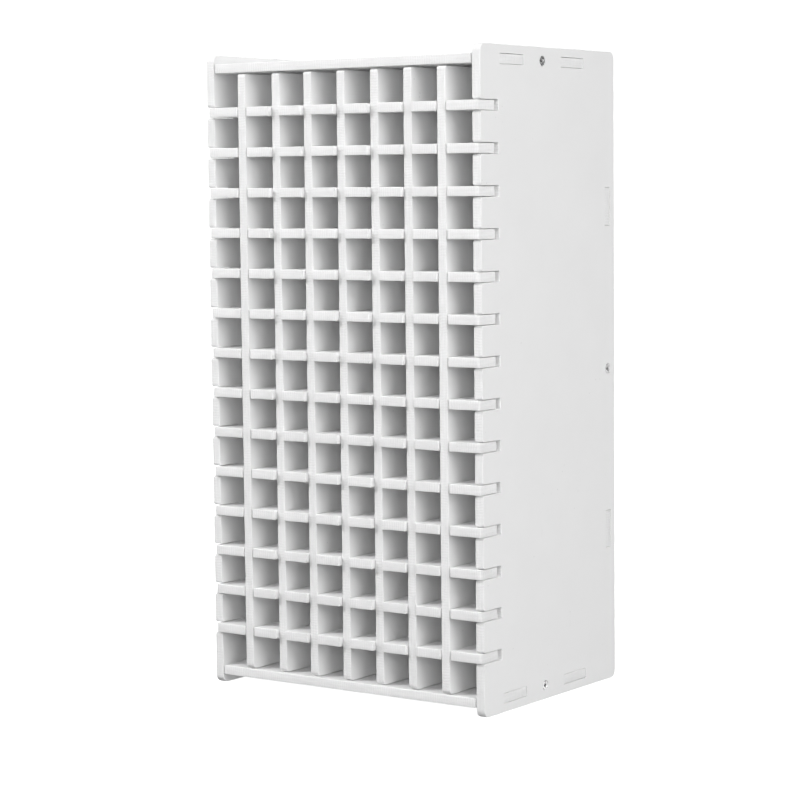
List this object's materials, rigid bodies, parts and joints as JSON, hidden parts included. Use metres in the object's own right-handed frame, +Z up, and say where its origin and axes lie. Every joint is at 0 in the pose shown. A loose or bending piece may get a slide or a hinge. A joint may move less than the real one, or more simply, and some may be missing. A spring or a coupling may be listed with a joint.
{
  "type": "slotted paint rack",
  "caption": "Upright bench rack of open square cells, cut from flat white foam board, with slotted side panels, a closed back and short feet, for paints, markers and brushes.",
  "frame": {"origin": "middle of the base, on the surface that the rack stands on", "axes": "+Z up, along the rack's height; -Y towards the open front of the cells; +X to the right as seen from the front"},
  "size_m": [0.176, 0.1316, 0.34],
  "materials": {
    "faced_board": "smooth white rigid foam board with a satin skin",
    "cut_board": "white rigid foam board with fine-pored routed edges",
    "screw_steel": "zinc plated"
  },
  "bodies": {
    "root": {"left_side_panel": "faced_board", "right_side_panel": "faced_board", "top_board": "faced_board", "bottom_board": "faced_board", "back_panel": "faced_board", "shelf_01": "cut_board", "shelf_02": "cut_board", "shelf_03": "cut_board", "shelf_04": "cut_board", "shelf_05": "cut_board", "shelf_06": "cut_board", "shelf_07": "cut_board", "shelf_08": "cut_board", "shelf_09": "cut_board", "shelf_10": "cut_board", "shelf_11": "cut_board", "shelf_12": "cut_board", "shelf_13": "cut_board", "shelf_14": "cut_board", "divider_1": "cut_board", "divider_2": "cut_board", "divider_3": "cut_board", "divider_4": "cut_board", "divider_5": "cut_board", "divider_6": "cut_board", "divider_7": "cut_board", "top_screw_left": "screw_steel", "top_screw_right": "screw_steel", "bottom_screw_left": "screw_steel", "bottom_screw_right": "screw_steel", "back_screw_left": "screw_steel", "back_screw_right": "screw_steel"}
  },
  "joints": []
}
